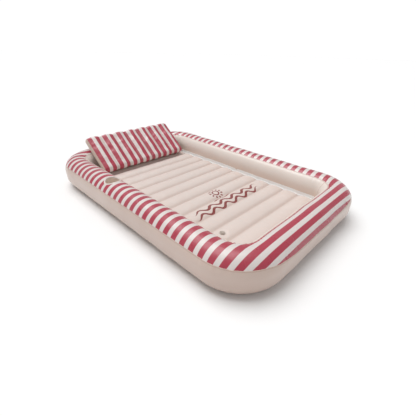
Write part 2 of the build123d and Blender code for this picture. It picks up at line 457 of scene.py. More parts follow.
class Graph:
    """Short names for building shader nodes."""

    def __init__(self, tree: NodeTree) -> None:
        """Wrap a node tree."""
        self.tree = tree

    def node(self, kind: str, **settings: object) -> bpy.types.Node:
        """Add a node and set its properties.

        Args:
            kind: node type.
            settings: properties by name.

        Returns:
            The new node.
        """
        made = self.tree.nodes.new(kind)
        for key, value in settings.items():
            setattr(made, key, value)
        return made

    def put(self, socket: Socket, value: object) -> None:
        """Link an output to a socket, or set the socket to a constant.

        Args:
            socket: input socket.
            value: output socket, number or colour.
        """
        if isinstance(value, Socket):
            self.tree.links.new(value, socket)
        elif isinstance(value, tuple) and len(value) < len(socket.default_value):
            socket.default_value = (*value, 1.0)
        else:
            socket.default_value = value

    def math(
        self, operation: str, first: object, second: object = 0.0, third: object = 0.0
    ) -> Socket:
        """One maths node's result.

        Args:
            operation: name of the operation.
            first: first term.
            second: second term.
            third: third term.

        Returns:
            The output socket.
        """
        made = self.node("ShaderNodeMath", operation=operation)
        for socket, value in zip(made.inputs, (first, second, third)):
            self.put(socket, value)
        return made.outputs[0]

    def vector(self, operation: str, first: object, second: object) -> Socket:
        """One vector maths node's vector result.

        Args:
            operation: name of the operation.
            first: first vector.
            second: second vector.

        Returns:
            The output socket.
        """
        made = self.node("ShaderNodeVectorMath", operation=operation)
        self.put(made.inputs[0], first)
        self.put(made.inputs[1], second)
        return made.outputs[0]

    def mix(self, share: object, first: object, second: object, blend: str = "MIX") -> Socket:
        """Colour between two colours.

        Args:
            share: how much of the second colour.
            first: first colour.
            second: second colour.
            blend: how they blend.

        Returns:
            The output socket.
        """
        made = self.node("ShaderNodeMix", data_type="RGBA", blend_type=blend)
        self.put(made.inputs[0], share)
        self.put(made.inputs[6], first)
        self.put(made.inputs[7], second)
        return made.outputs[2]

    def tint(self, share: object, first: object, second: object) -> Socket:
        """First colour multiplied by part of the second."""
        return self.mix(share, first, second, "MULTIPLY")

    def noise(
        self, where: object, scale: object, detail: float = 3.0, roughness: float = 0.5
    ) -> Socket:
        """Noise value from 0 to 1.

        Args:
            where: position.
            scale: cells in a metre.
            detail: number of finer layers.
            roughness: weight of the finer layers.

        Returns:
            The output socket.
        """
        made = self.node("ShaderNodeTexNoise")
        self.put(made.inputs["Vector"], where)
        self.put(made.inputs["Scale"], scale)
        self.put(made.inputs["Detail"], detail)
        self.put(made.inputs["Roughness"], roughness)
        return made.outputs["Fac"]

    def remap(
        self, value: object, low: object, high: object, to_low: float = 0.0, to_high: float = 1.0
    ) -> Socket:
        """Value moved from one range to another, clamped, with soft ends.

        Args:
            value: value to move.
            low: start of its range.
            high: end of its range.
            to_low: result at the start.
            to_high: result at the end.

        Returns:
            The output socket.
        """
        made = self.node("ShaderNodeMapRange", interpolation_type="SMOOTHSTEP")
        keys = ("Value", "From Min", "From Max", "To Min", "To Max")
        for key, item in zip(keys, (value, low, high, to_low, to_high)):
            self.put(made.inputs[key], item)
        return made.outputs[0]

    def split(self, where: object) -> tuple[Socket, ...]:
        """The three parts of a vector.

        Args:
            where: vector.

        Returns:
            The three output sockets.
        """
        made = self.node("ShaderNodeSeparateXYZ")
        self.put(made.inputs[0], where)
        return tuple(made.outputs)


class Kind(Enum):
    """Socket types used by the shared effects."""

    VALUE = "NodeSocketFloat"
    VECTOR = "NodeSocketVector"


Sockets = dict[str, Socket]
Effect = Callable[[Graph, Sockets], Sockets]


class EffectLibrary:
    """Shared shader node groups, each made once and used by name."""

    def __init__(self) -> None:
        """Start with no groups made."""
        self.made: dict[str, NodeTree] = {}

    def group(
        self,
        name: str,
        inputs: dict[str, tuple[Kind, object]],
        outputs: dict[str, Kind],
        fill: Effect,
    ) -> NodeTree:
        """The named group, built on first use.

        Args:
            name: group name.
            inputs: socket name to its type and default.
            outputs: socket name to its type.
            fill: builds the inside, from input sockets to output sockets.

        Returns:
            The node group.
        """
        if name not in self.made:
            tree = bpy.data.node_groups.new(name, "ShaderNodeTree")
            for key, (kind, default) in inputs.items():
                socket = tree.interface.new_socket(name=key, in_out="INPUT", socket_type=kind.value)
                if default is not None:
                    socket.default_value = default
            for key, kind in outputs.items():
                tree.interface.new_socket(name=key, in_out="OUTPUT", socket_type=kind.value)
            graph = Graph(tree)
            entry = graph.node("NodeGroupInput")
            leave = graph.node("NodeGroupOutput")
            results = fill(graph, {key: entry.outputs[key] for key in inputs})
            for key, value in results.items():
                graph.put(leave.inputs[key], value)
            self.made[name] = tree
        return self.made[name]

    def skin(self) -> NodeTree:
        """Calendered film: fine grain, slow waviness, faint handling haze and mottling.

        Returns:
            The node group.
        """
        inputs = {
            "Where": (Kind.VECTOR, None),
            "Grain": (Kind.VALUE, 900.0),
            "Wave": (Kind.VALUE, 26.0),
        }
        outputs = {"Height": Kind.VALUE, "Haze": Kind.VALUE, "Mottle": Kind.VALUE}

        def fill(g: Graph, i: Sockets) -> Sockets:
            """Grain, waves, haze and mottling from noise.

            Args:
                g: the group's graph.
                i: input sockets by name.

            Returns:
                Output sockets by name.
            """
            grain = g.noise(i["Where"], i["Grain"], 2.0, 0.6)
            wave = g.noise(i["Where"], i["Wave"], 3.0, 0.45)
            height = g.math("ADD", g.math("MULTIPLY", grain, 0.06), g.math("MULTIPLY", wave, 0.7))
            haze = g.remap(g.noise(i["Where"], 6.0, 3.0, 0.5), 0.35, 0.75)
            mottle = g.noise(i["Where"], 3.2, 4.0, 0.55)
            return {"Height": height, "Haze": haze, "Mottle": mottle}

        return self.group("film_skin", inputs, outputs, fill)

    def stripes(self) -> NodeTree:
        """Printed stripes across the first coordinate, with a very slightly uneven ink edge.

        Returns:
            The node group.
        """
        inputs = {
            "Where": (Kind.VECTOR, None),
            "Pitch": (Kind.VALUE, StripeSize().pitch),
            "Offset": (Kind.VALUE, 0.0),
            "Share": (Kind.VALUE, StripeSize().share),
            "Soft": (Kind.VALUE, 0.0012),
        }

        def fill(g: Graph, i: Sockets) -> Sockets:
            """Distance from the middle of the nearest stripe, made into a mask.

            Args:
                g: the group's graph.
                i: input sockets by name.

            Returns:
                Output sockets by name.
            """
            along = g.split(i["Where"])[0]
            uneven = g.math("SUBTRACT", g.noise(i["Where"], 60.0, 2.0), 0.5)
            wobble = g.math("MULTIPLY", uneven, 0.0012)
            shifted = g.math("ADD", g.math("SUBTRACT", along, i["Offset"]), wobble)
            high = g.math("MULTIPLY", i["Pitch"], 0.5)
            low = g.math("MULTIPLY", i["Pitch"], -0.5)
            cell = g.math("ABSOLUTE", g.math("WRAP", shifted, high, low))
            edge = g.math("MULTIPLY", g.math("MULTIPLY", i["Pitch"], i["Share"]), 0.5)
            start = g.math("SUBTRACT", edge, i["Soft"])
            stop = g.math("ADD", edge, i["Soft"])
            return {"Mask": g.remap(cell, start, stop, 1.0, 0.0)}

        return self.group("stripe_print", inputs, {"Mask": Kind.VALUE}, fill)

    def weave(self) -> NodeTree:
        """Fine canvas emboss of the printed film: crossed ribs with a little irregularity.

        Returns:
            The node group.
        """
        inputs = {"Where": (Kind.VECTOR, None), "Pitch": (Kind.VALUE, 0.0016)}

        def fill(g: Graph, i: Sockets) -> Sockets:
            """Two crossed sets of ribs.

            Args:
                g: the group's graph.
                i: input sockets by name.

            Returns:
                Output sockets by name.
            """
            x, y, _ = g.split(i["Where"])
            turn = g.math("DIVIDE", 2 * math.pi, i["Pitch"])
            waver = g.math("MULTIPLY", g.noise(i["Where"], 220.0, 1.0), 2.2)
            warp = g.math("SINE", g.math("ADD", g.math("MULTIPLY", x, turn), waver))
            weft = g.math("SINE", g.math("ADD", g.math("MULTIPLY", y, turn), waver))
            height = g.math("ADD", g.math("MULTIPLY", g.math("MULTIPLY", warp, weft), 0.5), 0.5)
            return {"Height": height}

        return self.group("canvas_emboss", inputs, {"Height": Kind.VALUE}, fill)

    def welds(self) -> NodeTree:
        """Pressed weld lines at a pitch along the first coordinate, with fine cross ribs, and painted
        shade over the valleys beside them.

        Returns:
            The node group.
        """
        inputs = {
            "Where": (Kind.VECTOR, None),
            "Pitch": (Kind.VALUE, MattressSize().pitch),
            "Half": (Kind.VALUE, 0.0040),
            "Rib": (Kind.VALUE, 0.0024),
        }
        outputs = {"Mask": Kind.VALUE, "Height": Kind.VALUE, "Shade": Kind.VALUE}

        def fill(g: Graph, i: Sockets) -> Sockets:
            """Bands round the nearest weld line.

            Args:
                g: the group's graph.
                i: input sockets by name.

            Returns:
                Output sockets by name.
            """
            x, y, _ = g.split(i["Where"])
            half = g.math("MULTIPLY", i["Pitch"], 0.5)
            near = g.math("ABSOLUTE", g.math("WRAP", x, half, g.math("MULTIPLY", half, -1.0)))
            mask = g.remap(near, g.math("MULTIPLY", i["Half"], 0.7), i["Half"], 1.0, 0.0)
            rib = g.math("SINE", g.math("DIVIDE", g.math("MULTIPLY", y, 2 * math.pi), i["Rib"]))
            height = g.math("MULTIPLY", mask, g.math("ADD", g.math("MULTIPLY", rib, 0.25), -0.6))
            # Shade: painted shade over the broad valleys either side of each weld line.
            shade = g.remap(near, 0.0, g.math("MULTIPLY", i["Half"], 6.0), 1.0, 0.0)
            return {"Mask": mask, "Height": height, "Shade": shade}

        return self.group("weld_lines", inputs, outputs, fill)

    def motif(self) -> NodeTree:
        """Printed emblem: three wavy water lines and a small sun.

        Returns:
            The node group.
        """
        inputs = {"Where": (Kind.VECTOR, None)}

        def fill(g: Graph, i: Sockets) -> Sockets:
            """The sun and every water line, slightly worn.

            Args:
                g: the group's graph.
                i: input sockets by name.

            Returns:
                Output sockets by name.
            """
            x, y, _ = g.split(i["Where"])
            total = self._sun(g, x, y, Sun())
            for line in WATER_LINES:
                total = g.math("MAXIMUM", total, self._water_line(g, x, y, line))
            worn = g.remap(g.noise(i["Where"], 340.0, 3.0, 0.7), 0.30, 0.40)
            return {"Mask": g.math("MULTIPLY", total, worn)}

        return self.group("water_motif", inputs, {"Mask": Kind.VALUE}, fill)

    @staticmethod
    def _water_line(g: Graph, x: Socket, y: Socket, line: WaterLine) -> Socket:
        """Mask of one wavy line that runs along the second coordinate.

        Args:
            g: the graph.
            x: first coordinate.
            y: second coordinate.
            line: place and size of the line.

        Returns:
            The mask.
        """
        turn = 2 * math.pi / WAVE_LENGTH
        phase = g.math("MULTIPLY", y, turn)
        crest = g.math("MULTIPLY", g.math("SINE", phase), line.swell)
        slope = g.math("MULTIPLY", g.math("COSINE", phase), line.swell * turn)
        tilt = g.math("SQRT", g.math("MULTIPLY_ADD", slope, slope, 1.0))
        across = g.math("SUBTRACT", g.math("SUBTRACT", x, line.at), crest)
        off = g.math("DIVIDE", g.math("ABSOLUTE", across), tilt)
        middle, reach = (line.low + line.high) / 2, (line.high - line.low) / 2
        end = g.math("ABSOLUTE", g.math("SUBTRACT", y, middle))
        swelling = g.math("ADD", g.math("MULTIPLY", g.math("COSINE", phase), -0.22), 1.0)
        taper = g.remap(end, reach * 0.72, reach, line.half, 0.0)
        width = g.math("MULTIPLY", taper, swelling)
        return g.remap(g.math("SUBTRACT", off, width), -0.0006, 0.0006, 1.0, 0.0)

    @staticmethod
    def _sun(g: Graph, x: Socket, y: Socket, sun: Sun) -> Socket:
        """Mask of a small ring with rays above the water lines.

        Args:
            g: the graph.
            x: first coordinate.
            y: second coordinate.
            sun: place and size of the sun.

        Returns:
            The mask.
        """
        dx = g.math("SUBTRACT", x, sun.x)
        dy = g.math("SUBTRACT", y, sun.y)
        away = g.math("SQRT", g.math("ADD", g.math("MULTIPLY", dx, dx), g.math("MULTIPLY", dy, dy)))
        disc = g.remap(away, sun.disc, sun.disc + sun.edge, 1.0, 0.0)
        hollow = g.remap(away, sun.hollow, sun.hollow + sun.edge)
        turn = g.math("MULTIPLY", g.math("ARCTAN2", dy, dx), sun.rays)
        ray = g.remap(g.math("COSINE", turn), 0.10, 0.35)
        begun = g.remap(away, sun.ray_low, sun.ray_low + sun.edge)
        band = g.math("MULTIPLY", begun, g.remap(away, sun.ray_high, sun.ray_high + sun.edge, 1.0, 0.0))
        return g.math("MAXIMUM", g.math("MULTIPLY", disc, hollow), g.math("MULTIPLY", ray, band))


# ---------------------------------------------------------------- finishes


class Coordinate(Enum):
    """Where a finish takes its pattern from."""

    FLAT = "UV"
    BODY = "Object"


WELD_TONE: Color = (0.60, 0.47, 0.40)
# Colour of the painted shade in the valleys beside the weld lines.
PAINTED_VALLEY_SHADE: Color = (0.66, 0.55, 0.50)
HAZE_TONE: Color = (0.55, 0.52, 0.50)
WEAVE_TINT: Color = (0.76, 0.74, 0.74)
# Weld line colour, which is also a painted shadow line where a panel overlaps.
SEAM_AND_SHADOW_TONE: Color = (0.50, 0.35, 0.28)
LONE_PITCH = 20.0  # longer than any piece, so that only one weld line shows


@dataclass(frozen=True)
class Film:
    """A satin vinyl finish and the print on it.

    Milk is the share of light scattered inside and clear the share let through. A ribbed weld
    line runs along the piece at lap_at and across it at joint_at; its darker tone is the weld's
    own colour, and along a lap also a painted shadow line under the overlapping panel. Below the
    two heights of painted_shade_below the film turns to its third item, a darker colour that is
    painted shade towards the ground.
    """

    name: str
    color: Color
    shade: Color
    roughness: float = 0.31
    coat: float = 0.28
    milk: float = 0.06
    stripe: Optional[Color] = None
    stripe_offset: float = 0.0
    stripe_pitch: float = StripeSize().pitch
    motif: Optional[Color] = None
    weld_pitch: float = 0.0
    weld_offset: float = 0.0
    # weld_shade: share of painted shade in the valleys beside the weld lines.
    weld_shade: float = 0.42
    emboss: float = 0.0
    lap_at: Optional[float] = None
    joint_at: Optional[float] = None
    # painted shade: heights between which the film darkens towards the ground, and the dark colour
    painted_shade_below: Optional[tuple[float, float, Color]] = None
    clear: float = 0.0
    coordinate: Coordinate = Coordinate.FLAT

    def build(self, effects: EffectLibrary) -> bpy.types.Material:
        """Make the material.

        Args:
            effects: the shared node groups.

        Returns:
            The finished material.
        """
        material = bpy.data.materials.new(self.name)
        material.use_nodes = True
        material.node_tree.nodes.clear()
        g = Graph(material.node_tree)
        spot = g.node("ShaderNodeTexCoord")
        body = spot.outputs["Object"]
        where = spot.outputs["UV"] if self.coordinate is Coordinate.FLAT else body
        skin = self._use(g, effects.skin(), Where=body)
        tone = g.mix(skin.outputs["Mottle"], self.color, self.shade)
        height = skin.outputs["Height"]
        if self.stripe is not None:
            spacing = {"Offset": self.stripe_offset, "Pitch": self.stripe_pitch}
            stripes = self._use(g, effects.stripes(), Where=where, **spacing)
            deep = tuple(part * 0.88 for part in self.stripe)
            ink = g.mix(skin.outputs["Mottle"], self.stripe, deep)
            tone = g.mix(stripes.outputs["Mask"], tone, ink)
        # Painted shade: the film darkens towards the ground below these heights.
        if self.painted_shade_below is not None:
            low, high, tan = self.painted_shade_below
            tone = g.mix(g.remap(g.split(body)[2], low, high, 0.85, 0.0), tone, tan)
        if self.weld_pitch > 0:
            shifted = g.vector("SUBTRACT", where, (self.weld_offset, 0.0, 0.0))
            welds = self._use(g, effects.welds(), Where=shifted, Pitch=self.weld_pitch)
            tone = g.mix(g.math("MULTIPLY", welds.outputs["Mask"], 0.18), tone, WELD_TONE)
            # Painted shade in the broad valleys beside each weld line.
            tone = g.tint(g.math("MULTIPLY", welds.outputs["Shade"], self.weld_shade), tone, PAINTED_VALLEY_SHADE)
            height = g.math("ADD", height, welds.outputs["Height"])
        if self.lap_at is not None:
            s, t, _ = g.split(where)
            lap = g.node("ShaderNodeCombineXYZ")
            g.put(lap.inputs[0], g.math("SUBTRACT", t, self.lap_at))
            g.put(lap.inputs[1], s)
            tone, height = self._weld_line(g, effects, lap.outputs[0], tone, height)
        if self.joint_at is not None:
            joint = g.vector("SUBTRACT", where, (self.joint_at, 0.0, 0.0))
            tone, height = self._weld_line(g, effects, joint, tone, height)
        if self.motif is not None:
            motif = self._use(g, effects.motif(), Where=where)
            tone = g.mix(g.math("MULTIPLY", motif.outputs["Mask"], 0.94), tone, self.motif)
        tone = g.mix(g.math("MULTIPLY", skin.outputs["Haze"], 0.03), tone, HAZE_TONE)
        if self.emboss > 0:
            weave = self._use(g, effects.weave(), Where=where)
            height = g.math("ADD", height, g.math("MULTIPLY", weave.outputs["Height"], self.emboss))
            tone = g.tint(g.math("MULTIPLY", weave.outputs["Height"], 0.30), tone, WEAVE_TINT)
        rough = g.math("ADD", g.math("MULTIPLY", skin.outputs["Haze"], 0.10), self.roughness - 0.03)
        self._surface(g, tone, rough, height)
        return material

    def _weld_line(
        self, g: Graph, effects: EffectLibrary, where: Socket, tone: Socket, height: Socket
    ) -> tuple[Socket, Socket]:
        """Tone and height with one ribbed weld line pressed in where the first coordinate is 0. Its darker
        tone is the weld's own colour, and at a lap also a painted shadow line under the overlapping panel.

        Args:
            g: the graph.
            effects: the shared node groups.
            where: coordinates measured from the line.
            tone: colour so far.
            height: height so far.

        Returns:
            The new tone and height.
        """
        line = self._use(g, effects.welds(), Where=where, Pitch=LONE_PITCH, Half=0.0036)
        # Weld colour, and at a lap a painted shadow line.
        tone = g.mix(g.math("MULTIPLY", line.outputs["Mask"], 0.55), tone, SEAM_AND_SHADOW_TONE)
        return tone, g.math("ADD", height, line.outputs["Height"])

    @staticmethod
    def _use(g: Graph, tree: NodeTree, **values: object) -> bpy.types.Node:
        """Place a shared group and feed its inputs.

        Args:
            g: the graph.
            tree: the shared group.
            values: inputs by name.

        Returns:
            The group node.
        """
        made = g.node("ShaderNodeGroup", node_tree=tree)
        for key, value in values.items():
            g.put(made.inputs[key], value)
        return made

    def _surface(self, g: Graph, tone: Socket, rough: Socket, height: Socket) -> None:
        """The shader itself, with its bump and constant gloss settings.

        Args:
            g: the graph.
            tone: base colour.
            rough: roughness.
            height: height of the bump.
        """
        bump = g.node("ShaderNodeBump")
        bump.inputs["Strength"].default_value = 0.35
        bump.inputs["Distance"].default_value = 0.0012
        g.put(bump.inputs["Height"], height)
        shader = g.node("ShaderNodeBsdfPrincipled")
        g.put(shader.inputs["Base Color"], tone)
        g.put(shader.inputs["Roughness"], rough)
        g.put(shader.inputs["Normal"], bump.outputs[0])
        constants = {
            "IOR": 1.53,
            "Specular IOR Level": 0.45,
            "Coat Weight": self.coat,
            "Coat Roughness": 0.20,
            "Subsurface Weight": self.milk,
            "Subsurface Radius": (0.010, 0.007, 0.006),
            "Subsurface Scale": 0.4,
            "Transmission Weight": self.clear,
        }
        for key, value in constants.items():
            shader.inputs[key].default_value = value
        out = g.node("ShaderNodeOutputMaterial")
        g.put(out.inputs["Surface"], shader.outputs[0])


RED: Color = (0.470, 0.043, 0.078)
WHITE: Color = (0.785, 0.725, 0.700)
WHITE_SHADE: Color = (0.745, 0.675, 0.645)
INK: Color = (0.210, 0.006, 0.004)

SEAM_OUT = RingSize().half * (math.pi / 2 - RingSize().seam_out)
SEAM_IN = -RingSize().half * (RingSize().seam_in - math.pi / 2)

FILMS = {
    "striped": Film(
        "StripedVinyl",
        WHITE,
        WHITE_SHADE,
        stripe=RED,
        stripe_offset=StripeSize().ring_offset,
        emboss=0.35,
        roughness=0.27,
    ),
    # Pillow: the ring's print in lighter white and red, painted light for a side that faces away from the
    # lamp, with painted shade in the valleys between the channels.
    "pillow": Film(
        "PillowVinyl",
        (0.845, 0.785, 0.760),
        (0.805, 0.735, 0.705),
        stripe=(0.520, 0.048, 0.088),
        stripe_pitch=StripeSize().pillow_pitch,
        weld_pitch=PillowSize().pitch,
        weld_offset=PillowSize().pitch / 2,
        weld_shade=0.30,
        emboss=0.35,
    ),
    # Outer wall and base: the same plain vinyl as the inner wall, painted darker as shade, with more
    # painted shade towards the ground.
    "wall": Film(
        "WallVinyl",
        (0.655, 0.520, 0.455),
        (0.605, 0.465, 0.400),
        lap_at=SEAM_OUT,
        painted_shade_below=(-0.02, 0.12, (0.48, 0.34, 0.28)),
    ),
    "inner": Film(
        "InnerWallVinyl",
        (0.850, 0.765, 0.710),
        (0.820, 0.725, 0.660),
        lap_at=SEAM_IN,
        joint_at=3.0,
        painted_shade_below=(0.045, 0.150, (0.70, 0.53, 0.43)),
    ),
    "mattress": Film(
        "MattressVinyl",
        (0.745, 0.650, 0.605),
        (0.705, 0.600, 0.550),
        motif=INK,
        weld_pitch=MattressSize().pitch,
        coat=0.12,
    ),
    "belly": Film(
        "BellyVinyl", (0.690, 0.590, 0.540), (0.640, 0.530, 0.480), weld_pitch=MattressSize().pitch
    ),
    "gusset": Film("GussetVinyl", (0.700, 0.580, 0.500), (0.640, 0.510, 0.430)),
    "tape": Film("WeldTape", (0.930, 0.920, 0.905), (0.905, 0.890, 0.870), roughness=0.42, milk=0.10),
    "cup": Film("CupVinyl", (0.860, 0.750, 0.670), (0.820, 0.690, 0.600), roughness=0.40),
    "rim": Film("RimVinyl", (0.760, 0.700, 0.650), (0.700, 0.630, 0.580), roughness=0.30),
    "sling": Film("SlingVinyl", (0.600, 0.470, 0.390), (0.540, 0.410, 0.330), roughness=0.45),
    "valve": Film(
        "ValveVinyl",
        (0.600, 0.510, 0.450),
        (0.540, 0.445, 0.385),
        roughness=0.26,
        coat=0.3,
        milk=0.2,
        clear=0.25,
        coordinate=Coordinate.BODY,
    ),
}


class Wardrobe:
    """Finishes by name, each made once."""

    def __init__(self) -> None:
        """Start with the shared effects and no materials."""
        self.effects = EffectLibrary()
        self.made: dict[str, bpy.types.Material] = {}

    def dress(self, obj: Object, finish: str) -> None:
        """Give the object one finish.

        Args:
            obj: the object.
            finish: name of the finish.
        """
        if finish not in self.made:
            self.made[finish] = FILMS[finish].build(self.effects)
        obj.data.materials.clear()
        obj.data.materials.append(self.made[finish])


@dataclass
class Piece:
    """One finished piece and what it stands for."""

    obj: Object
    finish: str
    body: str
    slot: str
    nodes: tuple[str, ...]
    fill: Optional[float] = None

    def settle(self, wardrobe: Wardrobe) -> None:
        """Dress the piece and hang it on its CAD body.

        Args:
            wardrobe: the finishes.
        """
        wardrobe.dress(self.obj, self.finish)
        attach(self.obj, self.body)
        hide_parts(*self.nodes)


# ---------------------------------------------------------------- ring


@dataclass(frozen=True)
class Hole:
    """Round hole through a tube panel, on the crest or on the slope."""

    along: float
    across: float
    radius: float

    def snap(self, s: Array, t: Array, bend: float) -> tuple[Array, Array, Array]:
        """Move grid points that lie inside the hole to its edge.

        Args:
            s: lengths round the ring.
            t: lengths across the tube from its crest.
            bend: the tube's radius.

        Returns:
            New s, new t and which points were inside.
        """
        along = s - self.along
        side = bend * np.sin((t - self.across) / bend)
        away = np.hypot(along, side)
        inside = (away < self.radius) & (np.abs(t - self.across) < bend)
        push = np.where(inside, self.radius / np.maximum(away, 1e-6), 1.0)
        bent = self.across + bend * np.arcsin(np.clip(side * push / bend, -1, 1))
        return np.where(inside, self.along + along * push, s), np.where(inside, bent, t), inside


@dataclass(frozen=True)
class Strip:
    """One panel of the ring's film, between two lengths across the tube."""

    name: str
    part: str
    low: float
    high: float
    rows: int
    finish: str
    slot: str = "plain_vinyl"
    lap_at: Optional[float] = None
    flat_pattern: bool = False
    holes: tuple[Hole, ...] = ()

    @property
    def nodes(self) -> tuple[str, ...]:
        """The four CAD panels that it stands for."""
        return tuple(f"ring_{self.part}_{side}" for side in ("right", "head", "left", "foot"))


class Ring:
    """The inflated ring: striped top, outer and inner walls and base."""

    def __init__(self, size: RingSize, cup: CupSize) -> None:
        """Lay out the ring's axis and section.

        Args:
            size: the ring's sizes.
            cup: the cup's sizes.
        """
        self.size, self.cup = size, cup
        half_head = size.centre_y - size.bend
        half_long = size.centre_x - size.bend
        quarter = size.bend * math.pi / 2
        turn = (quarter, size.bend)
        side, end = 2 * half_long, 2 * half_head
        legs = [(half_head, 0), turn, (side, 0), turn, (end, 0), turn, (side, 0), turn, (half_head, 0)]
        self.axis = Loop((-size.centre_x, 0.0), math.pi, 1, legs)
        starts = (0, quarter + side, 2 * quarter + side + end, 3 * quarter + 2 * side + end)
        self.corners = np.array([half_head + quarter / 2 + start for start in starts])
        self.cup_at = half_head + quarter + half_long + cup.x
        self.valve_at = self.axis.total - size.valve_from_end
        arc = size.half * math.pi / 2
        out_turn, in_turn = size.low_out * math.pi / 2, size.low_in * math.pi / 2
        section = [
            (arc, size.half),
            (size.top_z - size.low_out, 0),
            (out_turn, size.low_out),
            (2 * size.half - size.low_out - size.low_in, 0),
            (in_turn, size.low_in),
            (size.top_z - size.low_in, 0),
            (arc, size.half),
        ]
        self.section = Loop((0.0, size.top_z + size.half), math.pi / 2, -1, section)
        self.seam_out, self.seam_in = SEAM_OUT, SEAM_IN
        self.base_out = arc + (size.top_z - size.low_out) + size.low_out * size.base_seam
        self.base_in = -(arc + (size.top_z - size.low_in) + size.low_in * size.base_seam)
        self.fine = Ripples(5, 0.018, 0.050, self.axis.total, 12)
        self.slow = Ripples(8, 0.16, 0.60, self.axis.total, 8)

    def stations(self) -> Array:
        """Lengths round the ring at which the film is sampled: closer at corners, cup and valve.

        Returns:
            Lengths in order, with the first point again at the end.
        """
        marks = []
        at = 0.0
        close = np.append(self.corners, [self.cup_at, self.valve_at])
        while at < self.axis.total:
            marks.append(at)
            gap = np.abs(close - at).min()
            at += self.size.close_step if gap < 0.16 else self.size.step
        marks.append(self.axis.total)
        return np.array(marks)

    def cornering(self, s: Array) -> Array:
        """1 at the middle of a corner, falling to 0 along the straight runs.

        Args:
            s: lengths round the ring.

        Returns:
            The share at each length.
        """
        gap = np.min([from_nearest(s - corner, self.axis.total) for corner in self.corners], 0)
        return np.exp(-((gap / 0.17) ** 4))

    def puff(self, s: Array, t: Array) -> Array:
        """How far the film stands off its true section: slow waves, seam pinches and puckers.

        Args:
            s: lengths round the ring.
            t: lengths across the tube from its crest.

        Returns:
            Heights in metres.
        """
        corner = self.cornering(s)
        height = 0.0011 * self.slow.at(s, t)
        seams = (self.seam_out, self.seam_in, self.base_out, self.base_in)
        for seam, gather in zip(seams, (0.0009, 0.0019, 0.0009, 0.0019)):
            near = np.abs(t - seam)
            height = height - 0.0012 * np.exp(-near / 0.006)
            size = 0.0008 + gather * corner
            height = height + size * np.exp(-near / 0.024) * self.fine.at(s, t + seam)
        return height

    def sag(self, s: Array, t: Array) -> Array:
        """Lengths across the tube once the outer seam has sunk a little along the foot.

        Args:
            s: lengths round the ring.
            t: lengths across the tube from its crest.

        Returns:
            The new t.
        """
        middle = self.axis.total / 2
        reach = self.size.centre_y - self.size.bend + 0.06
        foot = np.clip(1 - (np.abs(s - middle) / reach) ** 4, 0, 1)
        return t + self.size.foot_drop * foot * np.exp(-(((t - self.seam_out) / 0.055) ** 2))

    def surface(self, s: Array, t: Array, lift: Array) -> Array:
        """Points on the inflated film, standing off it by lift.

        Args:
            s: lengths round the ring.
            t: lengths across the tube from its crest.
            lift: height above the film.

        Returns:
            Positions in metres.
        """
        axis, normal = self.axis.at(s)
        section, facing = self.section.at(t)
        off = section + facing * (self.puff(s, t) + lift)[..., None]
        z = np.maximum(off[..., 1], 0.0)
        return np.concatenate([axis + normal * off[..., :1], z[..., None]], -1)

    def strip(self, plan: Strip) -> Piece:
        """Build one panel with its turned-in edges.

        Args:
            plan: the panel's limits, finish and holes.

        Returns:
            The finished piece.
        """
        across = np.linspace(plan.low, plan.high, plan.rows)
        lift = np.zeros(plan.rows)
        if plan.lap_at is not None:
            lift = 0.0010 * (1 - smooth_step(0.0020, 0.0042, np.abs(across - plan.lap_at)))
        across = np.concatenate([[plan.low], across, [plan.high]])
        lift = np.concatenate([[-self.size.tuck], lift, [-self.size.tuck]])
        s, flat = np.meshgrid(self.stations(), across)
        t = self.sag(s, flat)
        keep = np.ones((len(across) - 1, s.shape[1] - 1), bool)
        for hole in plan.holes:
            s, t, inside = hole.snap(s, t, self.size.half)
            keep &= faces_outside(inside)
        points = self.surface(s, t, np.broadcast_to(lift[:, None], s.shape))
        uv = self._flat(s, t) if plan.flat_pattern else np.stack([s, flat], -1)
        obj = grid_mesh(plan.name, points, uv, wrap=True, keep=keep)
        return Piece(obj, plan.finish, "float", plan.slot, plan.nodes, 0.9)

    def _flat(self, s: Array, t: Array) -> Array:
        """Position on the flat printed sheet that the striped panel is cut from.

        Args:
            s: lengths round the ring.
            t: lengths across the tube from its crest.

        Returns:
            Flat coordinates in metres.
        """
        axis, normal = self.axis.at(s)
        drawn = t + 0.45 * (self.sag(s, t) - t)
        return axis + normal * drawn[..., None]

    def pieces(self) -> list[Piece]:
        """All the ring's panels.

        Returns:
            The four panels.
        """
        size = self.size
        cup = Hole(self.cup_at, 0.0, self.cup.bore + self.cup.clearance)
        valve = Hole(self.valve_at, size.half * math.pi / 4, size.valve_hole)
        top = Strip(
            "ring_top",
            "top",
            self.seam_in,
            self.seam_out,
            42,
            "striped",
            "striped_vinyl",
            flat_pattern=True,
            holes=(cup, valve),
        )
        low_out, high_in = self.seam_out - size.lap, self.seam_in + size.lap
        outer = Strip("ring_outer_wall", "outer", low_out, self.base_out, 60, "wall", lap_at=self.seam_out)
        inner = Strip("ring_inner_wall", "inner", self.base_in, high_in, 60, "inner", lap_at=self.seam_in)
        base = Strip("ring_base", "base", self.base_out, self.section.total + self.base_in, 30, "wall")
        return [self.strip(plan) for plan in (top, outer, inner, base)]


# ---------------------------------------------------------------- mattress


